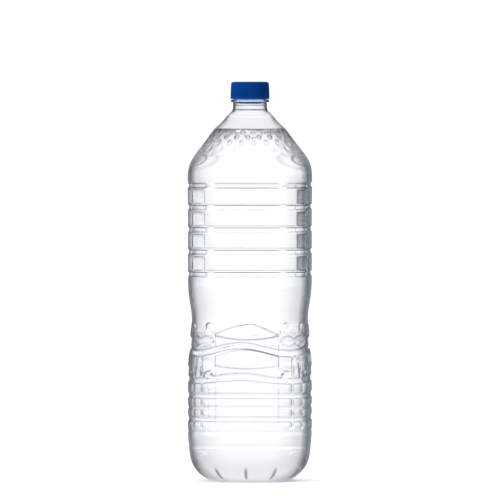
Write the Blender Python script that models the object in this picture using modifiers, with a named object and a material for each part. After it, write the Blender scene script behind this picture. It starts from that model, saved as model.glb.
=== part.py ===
"""A two-litre water bottle of clear PET, full to the shoulder, with a screw cap.

Metres, +Z up. The origin is the middle of the standing ring and the front face looks along -Y.
The body is a rounded square that turns round at the neck, so it is lofted ring by ring.
"""

import math

import bmesh
import bpy

MM = 0.001
COLLECTION = "water_bottle"

# Heights of the whole, the neck and the water
CAP_TOP = 307.0 * MM
CAP_FOOT = 293.8 * MM
FLANGE_TOP = 292.4 * MM
FLANGE_FOOT = 291.1 * MM
NECK_FOOT = 285.4 * MM
WATER_LEVEL = 271.0 * MM
MOUTH_TOP = 303.8 * MM

# Radii of the round parts
CAP_RADIUS = 15.0 * MM
CAP_BORE = 13.2 * MM
CAP_EDGE = 1.4 * MM
CAP_STEPS = 48
MOUTH_RADIUS = 12.6 * MM
MOUTH_BORE = 10.8 * MM
COLLAR_RADIUS = 14.5 * MM
FLANGE_RADIUS = 14.8 * MM
NECK_RADIUS = 13.0 * MM
NECK_FILLET = 0.6 * MM
COLLAR_STEP = 0.2 * MM
CAP_CLEARANCE = 0.4 * MM

# The square body: half its width over the faces at each height, top to bottom
NECK_FOOT_HALF = 13.4 * MM
SHOULDER = (
    (285.0 * MM, NECK_FOOT_HALF),
    (282.2 * MM, 16.5 * MM),
    (276.5 * MM, 21.4 * MM),
    (271.0 * MM, 27.2 * MM),
    (261.4 * MM, 34.2 * MM),
    (252.2 * MM, 41.0 * MM),
    (246.5 * MM, 44.4 * MM),
    (241.0 * MM, 46.3 * MM),
    (233.7 * MM, 46.9 * MM),
)
LABEL_AND_GRIP = (
    (205.0 * MM, 46.7 * MM),
    (155.0 * MM, 46.7 * MM),
    (147.0 * MM, 46.4 * MM),
    (138.0 * MM, 45.3 * MM),
    (129.0 * MM, 44.0 * MM),
    (118.0 * MM, 43.7 * MM),
    (106.0 * MM, 44.3 * MM),
    (97.0 * MM, 45.4 * MM),
    (88.0 * MM, 46.2 * MM),
    (75.0 * MM, 46.9 * MM),
    (57.0 * MM, 47.1 * MM),
    (40.0 * MM, 46.8 * MM),
)
HEEL = (
    (30.0 * MM, 46.3 * MM),
    (18.8 * MM, 45.1 * MM),
    (14.3 * MM, 43.9 * MM),
    (9.7 * MM, 41.6 * MM),
    (5.2 * MM, 37.7 * MM),
    (2.4 * MM, 33.8 * MM),
    (0.8 * MM, 30.7 * MM),
    (0.0, 28.5 * MM),
)
PROFILE = SHOULDER + LABEL_AND_GRIP + HEEL
STANDING_RING_INNER = 25.0 * MM
PUSH_UP = ((1.8 * MM, 20.0 * MM), (4.6 * MM, 11.0 * MM))
PUSH_UP_CENTRE = 5.6 * MM

# Corner radius over half width: 1 is a circle
BODY_ROUNDNESS = 0.60
HEEL_ROUNDNESS = 0.82
ROUND_FROM = 272.0 * MM
SQUARE_BELOW = 236.0 * MM
HEEL_BLEND = 24.0 * MM

# Relief: five level grooves round the label, two arched and two level ones in the grip
LABEL_TOP_GROOVE = 228.0 * MM
LABEL_GROOVE_PITCH = 17.1 * MM
LABEL_GROOVES = 5
LABEL_GROOVE_WIDTH = 5.6 * MM
LABEL_GROOVE_DEPTH = 1.2 * MM
GRIP_GROOVES = (
    (102.5 * MM, 6.4 * MM, 1.4 * MM),
    (80.0 * MM, 6.6 * MM, 1.3 * MM),
    (67.2 * MM, 6.0 * MM, 1.1 * MM),
    (49.3 * MM, 5.8 * MM, 1.1 * MM),
)
ARCH_HEIGHTS = (
    (120.0 * MM, 0.0),
    (103.0 * MM, 3.2 * MM),
    (80.0 * MM, 1.8 * MM),
    (71.0 * MM, 0.0),
)
ARCH_TURN = math.radians(-6.0)
FACET_RECESS = 0.4 * MM
FACET_DEPTH = 1.5 * MM

# Columns of the loft in each quarter turn: face, crease, facet edge, corner and back
FACE_MIDDLE = math.radians(14.5)
CREASE = math.radians(27.7)
FACET_EDGE = math.radians(35.3)
CORNER = math.radians(45.0)
QUARTER = math.radians(90.0)

# Heights of the rings that no groove gives
SHOULDER_RINGS = (282.2, 276.5, 271.0, 264.0, 257.0, 251.0, 246.0, 241.0, 236.0)
WAIST_RINGS = (149.0, 142.0, 135.0, 128.0, 119.0, 111.0)
GRIP_RINGS = (94.0, 88.5, 73.5, 61.0, 55.5, 40.0, 32.0)
HEEL_RINGS = (24.0, 18.8, 14.3, 9.7, 5.2, 2.4, 0.8)

# The inside: a plain wall behind the relief, and the water clear of it
WALL_INSET = 2.1 * MM
FLOOR_THICKNESS = 1.0 * MM
WATER_GAP = 0.4 * MM
INNER_RINGS = (
    276.5, 271.0, 264.0, 257.0, 251.0, 246.0, 241.0, 234.0, 205.0, 180.0, 155.0, 147.0, 138.0,
    129.0, 118.0, 106.0, 97.0, 88.0, 75.0, 57.0, 40.0, 30.0, 20.0, 14.3, 9.7, 6.0, 4.2,
)
INNER_FLOOR_HALF = 27.0 * MM


def between(points, height):
    """Value at a height on the straight runs of a list of (height, value), highest first."""
    if height >= points[0][0]:
        return points[0][1]
    for (top, above), (foot, below) in zip(points, points[1:]):
        if height >= foot:
            return below + (above - below) * (height - foot) / (top - foot)
    return points[-1][1]


def smooth_between(points, height):
    """Value at a height on a smooth curve through a list of (height, value), highest first."""
    if height >= points[0][0]:
        return points[0][1]
    if height <= points[-1][0]:
        return points[-1][1]
    index = next(i for i, point in enumerate(points[1:]) if height >= point[0])
    (top, above), (foot, below) = points[index], points[index + 1]
    slopes = []
    for i in (index, index + 1):
        before, after = points[max(i - 1, 0)], points[min(i + 1, len(points) - 1)]
        slopes.append((after[1] - before[1]) / (after[0] - before[0]))
    span = foot - top
    t = (height - top) / span
    return (
        above * (2 * t**3 - 3 * t**2 + 1)
        + slopes[0] * span * (t**3 - 2 * t**2 + t)
        + below * (3 * t**2 - 2 * t**3)
        + slopes[1] * span * (t**3 - t**2)
    )


def roundness_at(height):
    """How round the section is, from the square body to the round neck."""
    if height >= ROUND_FROM:
        return 1.0
    if height > SQUARE_BELOW:
        share = (height - SQUARE_BELOW) / (ROUND_FROM - SQUARE_BELOW)
        return BODY_ROUNDNESS + (1.0 - BODY_ROUNDNESS) * share
    if height < HEEL_BLEND:
        share = 1.0 - height / HEEL_BLEND
        return BODY_ROUNDNESS + (HEEL_ROUNDNESS - BODY_ROUNDNESS) * share
    return BODY_ROUNDNESS


def section_radius(angle, half_width, roundness):
    """Distance from the axis to a rounded square at an angle from the middle of a face."""
    corner = roundness * half_width
    flat = half_width - corner
    long = max(abs(math.cos(angle)), abs(math.sin(angle)))
    short = min(abs(math.cos(angle)), abs(math.sin(angle)))
    if short * half_width <= flat * long:
        return half_width / long
    return flat * (long + short) + math.sqrt(corner**2 - (flat * (long - short)) ** 2)


def grooves():
    """Middle, width and depth of every groove round the body."""
    label = [
        (LABEL_TOP_GROOVE - i * LABEL_GROOVE_PITCH, LABEL_GROOVE_WIDTH, LABEL_GROOVE_DEPTH)
        for i in range(LABEL_GROOVES)
    ]
    return label + list(GRIP_GROOVES)


def groove_depth(height):
    """Depth of the relief at a height, rounded like the moulded groove."""
    depth = 0.0
    for middle, width, full in grooves():
        offset = abs(height - middle) / (0.5 * width)
        if offset < 1.0:
            depth += full * 0.5 * (1.0 + math.cos(math.pi * offset))
    return depth


def facet_depth(angle, height):
    """Depth of the flat panel on each corner, between the first and the last label groove."""
    lowest = LABEL_TOP_GROOVE - (LABEL_GROOVES - 1) * LABEL_GROOVE_PITCH
    if not lowest < height < LABEL_TOP_GROOVE:
        return 0.0
    from_corner = abs((angle % QUARTER) - CORNER)
    reach = CORNER - FACET_EDGE
    if from_corner > reach + 1e-6:
        return 0.0
    return FACET_RECESS + FACET_DEPTH * (1.0 - (from_corner / reach) ** 2)


def column_angles():
    """Angles of the loft's columns round the bottle, from the middle of the front face."""
    half = [0.0, FACE_MIDDLE, CREASE, FACET_EDGE]
    quarter = half + [CORNER] + [QUARTER - angle for angle in reversed(half[1:])]
    return [turn * QUARTER + angle for turn in range(4) for angle in quarter]


def ring(height, half_width, roundness, relief=0.0, facets=False, arched=False):
    """Points of one section of the loft."""
    points = []
    arch = between(ARCH_HEIGHTS, height) if arched else 0.0
    for angle in column_angles():
        radius = section_radius(angle, half_width, roundness) - relief
        if facets:
            radius -= facet_depth(angle, height)
        lift = arch * math.cos(4.0 * (angle - ARCH_TURN))
        points.append((radius * math.sin(angle), -radius * math.cos(angle), height + lift))
    return points


def body_heights():
    """Heights of the outer rings, lowest first."""
    heights = [
        height * MM for height in SHOULDER_RINGS + WAIST_RINGS + GRIP_RINGS + HEEL_RINGS
    ]
    for middle, width, _ in grooves():
        heights += [middle - 0.5 * width, middle, middle + 0.5 * width]
    return sorted(heights)


def outer_rings():
    """The outside of the shell, from the push-up in the base to the mouth."""
    rings = [ring(height, half, HEEL_ROUNDNESS) for height, half in reversed(PUSH_UP)]
    rings.append(ring(0.0, STANDING_RING_INNER, HEEL_ROUNDNESS))
    rings.append(ring(0.0, PROFILE[-1][1], HEEL_ROUNDNESS))
    for height in body_heights():
        half = smooth_between(PROFILE, height)
        relief = groove_depth(height)
        rings.append(ring(height, half, roundness_at(height), relief, facets=True, arched=True))
    turned = (
        (PROFILE[0][0], NECK_FOOT_HALF),
        (NECK_FOOT + NECK_FILLET, NECK_RADIUS),
        (FLANGE_FOOT - NECK_FILLET, NECK_RADIUS),
        (FLANGE_FOOT, FLANGE_RADIUS),
        (FLANGE_TOP, FLANGE_RADIUS),
        (FLANGE_TOP + COLLAR_STEP, COLLAR_RADIUS),
        (CAP_FOOT - CAP_CLEARANCE, COLLAR_RADIUS),
        (CAP_FOOT - CAP_CLEARANCE, MOUTH_RADIUS),
        (MOUTH_TOP, MOUTH_RADIUS),
    )
    return rings + [ring(height, radius, 1.0) for height, radius in turned]


def inner_rings(gap):
    """The plain inside wall, lowest first, moved in by a gap for what fills it."""
    floor = ring(PUSH_UP[0][0] + FLOOR_THICKNESS + gap, INNER_FLOOR_HALF - gap, HEEL_ROUNDNESS)
    rings = [floor]
    for height in sorted(height * MM for height in INNER_RINGS):
        half = smooth_between(PROFILE, height) - WALL_INSET - gap
        lift = gap if height < HEEL_BLEND else 0.0
        rings.append(ring(height + lift, half, roundness_at(height)))
    return rings


def loft(name, rings, first_pole, last_pole, material, collection):
    """A closed solid through rings of like columns, shut by a point at each end."""
    mesh = bmesh.new()
    start = mesh.verts.new((0.0, 0.0, first_pole))
    rows = [[mesh.verts.new(point) for point in points] for points in rings]
    end = mesh.verts.new((0.0, 0.0, last_pole))
    columns = len(rows[0])
    for j in range(columns):
        after = (j + 1) % columns
        mesh.faces.new((start, rows[0][after], rows[0][j]))
        for low, high in zip(rows, rows[1:]):
            mesh.faces.new((low[j], low[after], high[after], high[j]))
        mesh.faces.new((rows[-1][j], rows[-1][after], end))
    data = bpy.data.meshes.new(name)
    mesh.to_mesh(data)
    mesh.free()
    data.shade_smooth()
    data.set_sharp_from_angle(angle=math.radians(40.0))
    data.materials.append(material)
    solid = bpy.data.objects.new(name, data)
    collection.objects.link(solid)
    return solid


def make_bottle(collection, material):
    """The shell: outside from the base up to the mouth, then inside down to the floor."""
    inside = [
        ring(MOUTH_TOP, MOUTH_BORE, 1.0),
        ring(NECK_FOOT, MOUTH_BORE, 1.0),
    ] + list(reversed(inner_rings(0.0)))
    floor = PUSH_UP_CENTRE + FLOOR_THICKNESS
    return loft(
        "bottle", outer_rings() + inside, PUSH_UP_CENTRE, floor, material, collection
    )


def make_water(collection, material):
    """The water, clear of the wall, with a level top."""
    rings = [
        points for points in inner_rings(WATER_GAP) if points[0][2] < WATER_LEVEL - 1.0 * MM
    ]
    half = smooth_between(PROFILE, WATER_LEVEL) - WALL_INSET - WATER_GAP
    rings.append(ring(WATER_LEVEL, half, roundness_at(WATER_LEVEL)))
    floor = PUSH_UP_CENTRE + FLOOR_THICKNESS + WATER_GAP
    return loft("water", rings, floor, WATER_LEVEL, material, collection)


def make_cap(collection, material):
    """The screw cap: a turned cup with a rounded top edge, clear of the mouth inside it."""
    inner_top = MOUTH_TOP + 0.6 * MM
    quarter = [math.radians(angle) for angle in (90.0, 60.0, 30.0, 0.0)]
    edge_middle = (CAP_RADIUS - CAP_EDGE, CAP_TOP - CAP_EDGE)
    profile = [(0.0, CAP_TOP)]
    profile += [
        (edge_middle[0] + CAP_EDGE * math.cos(a), edge_middle[1] + CAP_EDGE * math.sin(a))
        for a in quarter
    ]
    profile += [
        (CAP_RADIUS, CAP_FOOT),
        (CAP_BORE, CAP_FOOT),
        (CAP_BORE, inner_top),
        (0.0, inner_top),
    ]
    data = bpy.data.meshes.new("cap")
    points = [(x, 0.0, z) for x, z in profile]
    data.from_pydata(points, [(i, i + 1) for i in range(len(points) - 1)], [])
    data.materials.append(material)
    cap = bpy.data.objects.new("cap", data)
    collection.objects.link(cap)
    screw = cap.modifiers.new("turn", "SCREW")
    screw.steps = CAP_STEPS
    screw.render_steps = CAP_STEPS
    screw.use_merge_vertices = True
    screw.merge_threshold = 0.00001
    screw.use_smooth_shade = True
    return cap


def plastic(name, colour, roughness, transmission=0.0, ior=1.5):
    """A Principled material for one piece."""
    material = bpy.data.materials.new(name)
    material.use_nodes = True
    shader = material.node_tree.nodes["Principled BSDF"]
    shader.inputs["Base Color"].default_value = (*colour, 1.0)
    shader.inputs["Roughness"].default_value = roughness
    shader.inputs["Metallic"].default_value = 0.0
    shader.inputs["Transmission Weight"].default_value = transmission
    shader.inputs["IOR"].default_value = ior
    material.diffuse_color = (*colour, 1.0)
    return material


def main():
    for old in list(bpy.data.objects):
        bpy.data.objects.remove(old, do_unlink=True)
    collection = bpy.data.collections.new(COLLECTION)
    bpy.context.scene.collection.children.link(collection)
    clear_pet = plastic("clear_pet", (0.93, 0.95, 0.97), 0.03, transmission=1.0, ior=1.575)
    water = plastic("still_water", (0.97, 0.99, 1.0), 0.0, transmission=1.0, ior=1.333)
    blue = plastic("blue_polyethylene", (0.0, 0.05, 0.32), 0.35)
    make_bottle(collection, clear_pet)
    make_water(collection, water)
    make_cap(collection, blue)


main()
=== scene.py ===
"""A two-litre bottle of still water, dressed for its picture.

The PET shell, the water in it and the blue cap are turned or lofted from named sizes, in metres, around
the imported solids. The front face looks along -Y and the bottle stands on the floor at z = 0.
"""

import logging
import math
from collections.abc import Callable, Sequence
from dataclasses import dataclass
from enum import Enum
from functools import partial

import bpy
import numpy as np
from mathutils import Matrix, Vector


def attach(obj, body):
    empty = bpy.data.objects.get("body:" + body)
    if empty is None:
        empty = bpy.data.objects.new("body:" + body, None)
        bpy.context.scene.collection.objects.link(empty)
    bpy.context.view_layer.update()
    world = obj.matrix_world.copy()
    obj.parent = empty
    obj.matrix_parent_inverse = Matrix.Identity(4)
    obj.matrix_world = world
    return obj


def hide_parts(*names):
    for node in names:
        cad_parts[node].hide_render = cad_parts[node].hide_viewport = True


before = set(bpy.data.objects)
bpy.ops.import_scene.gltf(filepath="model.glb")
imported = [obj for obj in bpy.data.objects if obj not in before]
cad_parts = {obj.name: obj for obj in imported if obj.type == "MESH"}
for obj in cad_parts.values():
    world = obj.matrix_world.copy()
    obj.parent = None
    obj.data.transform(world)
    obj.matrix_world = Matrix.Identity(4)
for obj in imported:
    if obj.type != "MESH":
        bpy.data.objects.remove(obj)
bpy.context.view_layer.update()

log = logging.getLogger("water_bottle")

MM = 0.001
QUARTER = math.pi / 2.0
FULL_TURN = 2.0 * math.pi
PLAIN_COLUMNS = 96
EDGE_SHADE_LAYER = "edge_line_shade"
PANEL_LIGHT_LAYER = "panel_painted_light"
OUTER_LAYER = "outside"
Profile = Sequence[tuple[float, float]]
Row = tuple[float, float, float]
Node = bpy.types.Node
Socket = bpy.types.NodeSocket
AddNode = Callable[..., Node]


class Body(Enum):
    """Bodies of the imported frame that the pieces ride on."""

    WHOLE = "root"


class Slot(Enum):
    """Material slots of the record."""

    SHELL = "clear_pet"
    FILL = "still_water"
    CAP = "blue_polyethylene"


def linear(code: str) -> tuple[float, float, float, float]:
    """Turn an sRGB hex colour into linear RGBA.

    Args:
        code: Six hex digits after a hash.

    Returns:
        Red, green, blue and an alpha of 1, all linear.
    """
    parts = [int(code[i : i + 2], 16) / 255.0 for i in (1, 3, 5)]
    flat = [p / 12.92 if p <= 0.04045 else ((p + 0.055) / 1.055) ** 2.4 for p in parts]
    return (flat[0], flat[1], flat[2], 1.0)


def add_node(
    tree: bpy.types.NodeTree,
    kind: str,
    *inputs: object,
    at: dict[str | int, object] | None = None,
    stops: Sequence[tuple[float, str]] = (),
    **settings: object,
) -> Node:
    """Add one node with its settings and links.

    Args:
        tree: Tree of the material or world.
        kind: Blender's identifier of the node type, without its prefix.
        inputs: What each input in turn gets: a value, an output, or a node for its first output.
        at: The same for single inputs, by name or place.
        stops: Places and sRGB hex colours of a colour ramp, from the lowest up.
        settings: Attributes of the node itself.

    Returns:
        The node.
    """
    node = tree.nodes.new("ShaderNode" + kind)
    for key, value in settings.items():
        setattr(node, key, value)
    for key, value in [*enumerate(inputs), *(at or {}).items()]:
        if isinstance(value, (Node, Socket)):
            source = value.outputs[0] if isinstance(value, Node) else value
            tree.links.new(source, node.inputs[key])
        else:
            node.inputs[key].default_value = value
    for count, (place, code) in enumerate(stops):
        elements = node.color_ramp.elements
        while count == 0 and len(elements) > 1:
            elements.remove(elements[-1])
        stop = elements.new(place) if count else elements[0]
        stop.position, stop.color = place, linear(code)
    return node


def cleared(owner: bpy.types.Material | bpy.types.World) -> AddNode:
    """Clear away the nodes of a material or world.

    Args:
        owner: The material or world.

    Returns:
        The function that adds nodes to it.
    """
    owner.use_nodes = True
    owner.node_tree.nodes.clear()
    return partial(add_node, owner.node_tree)


def let_lamps_through(add: AddNode, shader: Node, pane: str = "#F4F5F7") -> None:
    """End a clear material, whose walls let lamp light through in place of a hard dark shadow.

    Args:
        add: Adds a node to the material.
        shader: The material's own shader.
        pane: What is left of the lamp light after each wall.
    """
    shadow = add("LightPath").outputs["Is Shadow Ray"]
    clear = add("BsdfTransparent", linear(pane))
    add("OutputMaterial", add("MixShader", shadow, shader, clear))


def smoothstep(low: float, high: float, value: np.ndarray | float) -> np.ndarray:
    """Rise smoothly from 0 at low to 1 at high."""
    share = np.clip((value - low) / (high - low), 0.0, 1.0)
    return share * share * (3.0 - 2.0 * share)


def in_metres(*points: tuple[float, float]) -> Profile:
    """Turn pairs of millimetres, such as heights and widths, into metres."""
    return tuple((first * MM, second * MM) for first, second in points)


def spread(low: float, *stretches: tuple[float, float]) -> list[float]:
    """Evenly spaced values in stretches that follow one another.

    Args:
        low: Where the first stretch starts.
        stretches: Where each stretch ends and how far apart its values lie at most.

    Returns:
        The values, without the end of the last stretch.
    """
    values: list[float] = []
    for high, step in stretches:
        count = max(math.ceil((high - low) / step), 1)
        values += [low + (high - low) * i / count for i in range(count)]
        low = high
    return values


def wrapped(angles: np.ndarray, pitch: float) -> np.ndarray:
    """Signed angle from the nearest multiple of the pitch."""
    return (angles + pitch / 2.0) % pitch - pitch / 2.0


def add_object(name: str, data: bpy.types.ID) -> bpy.types.Object:
    """Make an object and link it to the scene.

    Args:
        name: Its name.
        data: Its mesh, lamp or camera.

    Returns:
        The object.
    """
    thing = bpy.data.objects.new(name, data)
    bpy.context.scene.collection.objects.link(thing)
    return thing


def smooth_between(points: Profile, height: float) -> float:
    """Read a smooth curve through points that are listed from the highest down.

    Args:
        points: Heights and values.
        height: Height to read at.

    Returns:
        The value there.
    """
    if height >= points[0][0]:
        return points[0][1]
    if height <= points[-1][0]:
        return points[-1][1]
    index = next(i for i, point in enumerate(points[1:]) if height >= point[0])
    (top, above), (foot, below) = points[index], points[index + 1]
    slopes = []
    for i in (index, index + 1):
        before, after = points[max(i - 1, 0)], points[min(i + 1, len(points) - 1)]
        slopes.append((after[1] - before[1]) / (after[0] - before[0]))
    span = foot - top
    t = (height - top) / span
    return (
        above * (2 * t**3 - 3 * t**2 + 1)
        + slopes[0] * span * (t**3 - 2 * t**2 + t)
        + below * (3 * t**2 - 2 * t**3)
        + slopes[1] * span * (t**3 - t**2)
    )


def join_rings(low: np.ndarray, high: np.ndarray, first: int, second: int) -> list[tuple[int, ...]]:
    """Join two rings with quads, or with triangles where their columns differ.

    Args:
        low: Points of the first ring, from the front round to it again.
        high: Points of the second ring.
        first: Place of the first ring's first point in the mesh.
        second: Place of the second ring's first point.

    Returns:
        The faces between the rings.
    """
    turns = [np.arctan2(ring[:, 0], -ring[:, 1]) % FULL_TURN for ring in (low, high)]
    below, above = len(low), len(high)
    if below == above and np.allclose(turns[0], turns[1], atol=1e-3):
        return [
            (first + i, first + (i + 1) % below, second + (i + 1) % below, second + i)
            for i in range(below)
        ]
    ahead = [np.append(turn[1:], turn[0] + FULL_TURN) for turn in turns]
    faces: list[tuple[int, ...]] = []
    i = j = 0
    while i < below or j < above:
        here, there = first + i % below, second + j % above
        if j >= above or (i < below and ahead[0][i] <= ahead[1][j]):
            faces.append((here, first + (i + 1) % below, there))
            i += 1
        else:
            faces.append((here, second + (j + 1) % above, there))
            j += 1
    return faces


def skin(
    name: str,
    rings: Sequence[np.ndarray],
    poles: tuple[float, float],
    material: bpy.types.Material,
) -> bpy.types.Object:
    """Make one closed mesh through rings, shut by a point on the axis at each end.

    Args:
        name: Name of the piece.
        rings: Points of every ring, in the order that leaves the solid on the inner side.
        poles: Heights of the points that shut the first and the last ring.
        material: Finish of the piece.

    Returns:
        The new object, linked to the scene.
    """
    points = np.vstack([*rings, [[0.0, 0.0, pole] for pole in poles]])
    starts = np.cumsum([0] + [len(ring) for ring in rings]).tolist()
    start, end = starts[-1], starts[-1] + 1
    faces: list[tuple[int, ...]] = []
    count = len(rings[0])
    faces += [(start, (i + 1) % count, i) for i in range(count)]
    for i in range(len(rings) - 1):
        faces += join_rings(rings[i], rings[i + 1], starts[i], starts[i + 1])
    last, count = starts[-2], len(rings[-1])
    faces += [(last + i, last + (i + 1) % count, end) for i in range(count)]
    data = bpy.data.meshes.new(name)
    data.from_pydata(points.tolist(), [], faces)
    data.update()
    data.shade_smooth()
    data.materials.append(material)
    return add_object(name, data)


def turned(
    radius: np.ndarray | float, height: np.ndarray | float, angles: np.ndarray
) -> np.ndarray:
    """Points round the axis at each angle."""
    level = height + np.zeros_like(angles)
    return np.stack([radius * np.sin(angles), -radius * np.cos(angles), level], axis=1)


def even_angles(count: int) -> np.ndarray:
    """Angles of evenly spaced columns, from the middle of the front face."""
    return np.arange(count) * (FULL_TURN / count)


def section(angles: np.ndarray, half: float, roundness: float) -> np.ndarray:
    """Distance from the axis to a rounded square.

    Args:
        angles: Angles from the middle of a face.
        half: Half the width over the faces.
        roundness: Corner radius over half width.

    Returns:
        The distance at each angle.
    """
    corner = roundness * half
    flat = half - corner
    cos, sin = np.abs(np.cos(angles)), np.abs(np.sin(angles))
    long, short = np.maximum(cos, sin), np.minimum(cos, sin)
    arc = flat * (long + short) + np.sqrt(
        np.maximum(corner**2 - (flat * (long - short)) ** 2, 0.0)
    )
    return np.where(short * half <= flat * long, half / long, arc)


@dataclass(frozen=True)
class BlowMouldedPet:
    """Clear polyethylene terephthalate, stretch blow-moulded."""

    name: str = "blow_moulded_pet"
    ior: float = 1.575
    roughness: float = 0.0
    water_line: float = 271.0 * MM
    # Painted shade: strength per channel of the blue-grey tint painted towards the outline
    outline_shade_losses: tuple[float, float, float] = (2.2, 2.02, 1.75)
    # Painted shade: strength per channel of the grey lines on the moulded edges
    edge_shade_losses: tuple[float, float, float] = (3.0, 2.85, 2.6)
    # Painted soft shade: strength per channel, and how much more of it lies low on the body
    soft_shade_losses: tuple[float, float, float] = (0.42, 0.39, 0.33)
    low_soft_shade: float = 0.45
    soft_shade_heights: tuple[float, float] = (20.0 * MM, 175.0 * MM)
    empty_share: float = 0.25
    neck_share: float = 0.5
    neck_foot: float = 284.0 * MM
    rim_from: tuple[float, float] = (0.5, 0.32)
    rim_to: tuple[float, float] = (0.8, 0.66)
    rim_share: float = 0.93
    # Painted rim shade: colours of the grey see-through sheet at the outline, usual, darkest and lightest
    rim_shade_colour: str = "#AAACB1"
    rim_deep_shade: str = "#54575D"
    rim_highlight: str = "#F2F3F5"
    ramp_places: Row = (0.25, 0.5, 0.9)
    mark_gain: float = 0.5
    # Strength of the painted panel shade and light
    panel_shade_gain: float = 2.5
    neck_rim: float = 0.3
    neck_rim_reach: float = 0.5
    heel_rim: float = 0.15
    heel_rim_heights: tuple[float, float] = (8.0 * MM, 22.0 * MM)
    heel_share: float = 0.35
    heel_middle: float = 10.0 * MM
    heel_reach: float = 9.0 * MM
    water_reach: float = 1.0 * MM
    neck_reach: float = 3.0 * MM
    neck_ramp: tuple[float, float] = (283.0 * MM, 285.0 * MM)
    # Painted cap light: heights and colour of the blue tint just under the cap
    collar: tuple[float, float] = (292.1 * MM, 292.5 * MM)
    collar_cap_light: str = "#7FA6DC"

    def material(self) -> bpy.types.Material:
        """Build the clear wall, with shade painted towards its outline, where it is seen along its own
        thickness, and along its moulded edges.

        Returns:
            The material.
        """
        material = bpy.data.materials.new(self.name)
        add = cleared(material)
        # Painted shade: clear PET has no colour face on; towards the outline, where the light path along
        # the wall is long, a blue-grey tint is painted in, much darker than that path alone would make it
        facing = add("LayerWeight", 0.5).outputs["Facing"]
        height = add("SeparateXYZ", add("TexCoord").outputs["Object"]).outputs["Z"]
        outer = add("Attribute", attribute_name=OUTER_LAYER).outputs["Fac"]
        shape = add("NewGeometry")
        # 1 where light crosses the outside of the wall from the air, else 0
        from_air = add("Math", 1.0, shape.outputs["Backfacing"], operation="SUBTRACT")
        entering = add("Math", outer, from_air, operation="MULTIPLY")
        # 0 on upright walls, 1 on level ones, which the floor lights
        rise = add("SeparateXYZ", shape.outputs["Normal"]).outputs["Z"]
        level = add("Math", rise, rise, operation="MULTIPLY")
        filled = self.filled_share(add, height)
        outline_shade = facing
        for share in (add("Math", 1.0, level, operation="SUBTRACT"), filled, entering):
            outline_shade = add("Math", outline_shade, share, operation="MULTIPLY")
        # Painted soft shade, far in from the outline and darker towards the foot
        soft_shade = add("Math", self.soft_shade_share(add, facing, filled, height), entering, operation="MULTIPLY")
        # Painted shade and light on the corner panels, set for their slant, fades where they are seen face
        # on
        panel = add("Attribute", attribute_name=PANEL_LIGHT_LAYER).outputs["Fac"]
        tone = add("Math", panel, facing, operation="MULTIPLY")
        # Painted shade: thin grey lines along the mould's crisp edges stand in for the light those edges
        # bend away
        edge = add("Attribute", attribute_name=EDGE_SHADE_LAYER).outputs["Fac"]
        marks = add("Math", tone, self.panel_shade_gain, edge, operation="MULTIPLY_ADD")
        line = add("Math", marks, entering, operation="MULTIPLY")
        clear = add(
            "BsdfPrincipled",
            at={
                "Base Color": self.colour(add, (outline_shade, soft_shade, line), height),
                "Roughness": self.roughness,
                "IOR": self.ior,
                "Transmission Weight": 1.0,
            },
        )
        # Painted shade: on the outermost part of the outline, where the wall is seen end on, a grey
        # see-through sheet is mixed in for the light the wall swallows there
        neck = add("MapRange", height, *self.neck_ramp)
        reach = add("Math", neck, self.neck_rim_reach, filled, operation="MULTIPLY_ADD")
        limits = [
            add("MapRange", reach, self.empty_share, 1.0, *ends) for ends in (self.rim_from, self.rim_to)
        ]
        rim = add("MapRange", facing, *limits, 0.0, self.rim_share, interpolation_type="SMOOTHSTEP")
        flat = add("Math", level, level, operation="MULTIPLY")
        for share in (add("Math", 1.0, flat, operation="SUBTRACT"), outer):
            rim = add("Math", rim, share, operation="MULTIPLY")
        # The painted rim shade is darker at the heel, on the neck and along the moulded edges, and lighter
        # on the panels' painted highlights
        body = self.ramp_places[1]
        heel = add("MapRange", height, *self.heel_rim_heights, body + self.heel_rim, body)
        deeper = add("Math", neck, self.neck_rim, heel, operation="MULTIPLY_ADD")
        dark = add("Math", marks, self.mark_gain, deeper, operation="MULTIPLY_ADD")
        colours = (self.rim_highlight, self.rim_shade_colour, self.rim_deep_shade)
        rim_shade_tint = add("ValToRGB", dark, stops=tuple(zip(self.ramp_places, colours)))
        painted_rim_sheet = add("BsdfTransparent", rim_shade_tint)
        let_lamps_through(add, add("MixShader", rim, clear, painted_rim_sheet))
        return material

    def colour(self, add: AddNode, shares: Sequence[Node], height: Socket) -> Socket:
        """Colour of the light that the wall lets through, darkened by the painted shade.

        Args:
            add: Adds a node to the material.
            shares: How strong the painted outline shade, the painted soft shade and the painted lines on
                the moulded edges are.
            height: Height over the floor.

        Returns:
            The colour.
        """
        outline_shade, soft_shade, line = shares
        channels = []
        for loss, soft_shade_loss, line_loss in zip(self.outline_shade_losses, self.soft_shade_losses, self.edge_shade_losses):
            total = add("Math", outline_shade, -loss, operation="MULTIPLY")
            total = add("Math", soft_shade, -soft_shade_loss, total, operation="MULTIPLY_ADD")
            total = add("Math", line, -line_loss, total, operation="MULTIPLY_ADD")
            # The wall may pass all light, but never adds any
            total = add("Math", total, 0.0, operation="MINIMUM")
            channels.append(add("Math", total, operation="EXPONENT"))
        tint = add("CombineColor", *channels)
        # Painted cap light: just under the cap a blue tint stands in for the cap's blue carried down to
        # the flange by the thick neck
        neck = add("MapRange", height, *self.collar)
        cap_light_tint = add("ValToRGB", neck, stops=((0.0, "#FFFFFF"), (1.0, self.collar_cap_light)))
        both = add("Mix", 1.0, at={6: tint, 7: cap_light_tint}, data_type="RGBA", blend_type="MULTIPLY")
        return both.outputs[2]

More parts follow.
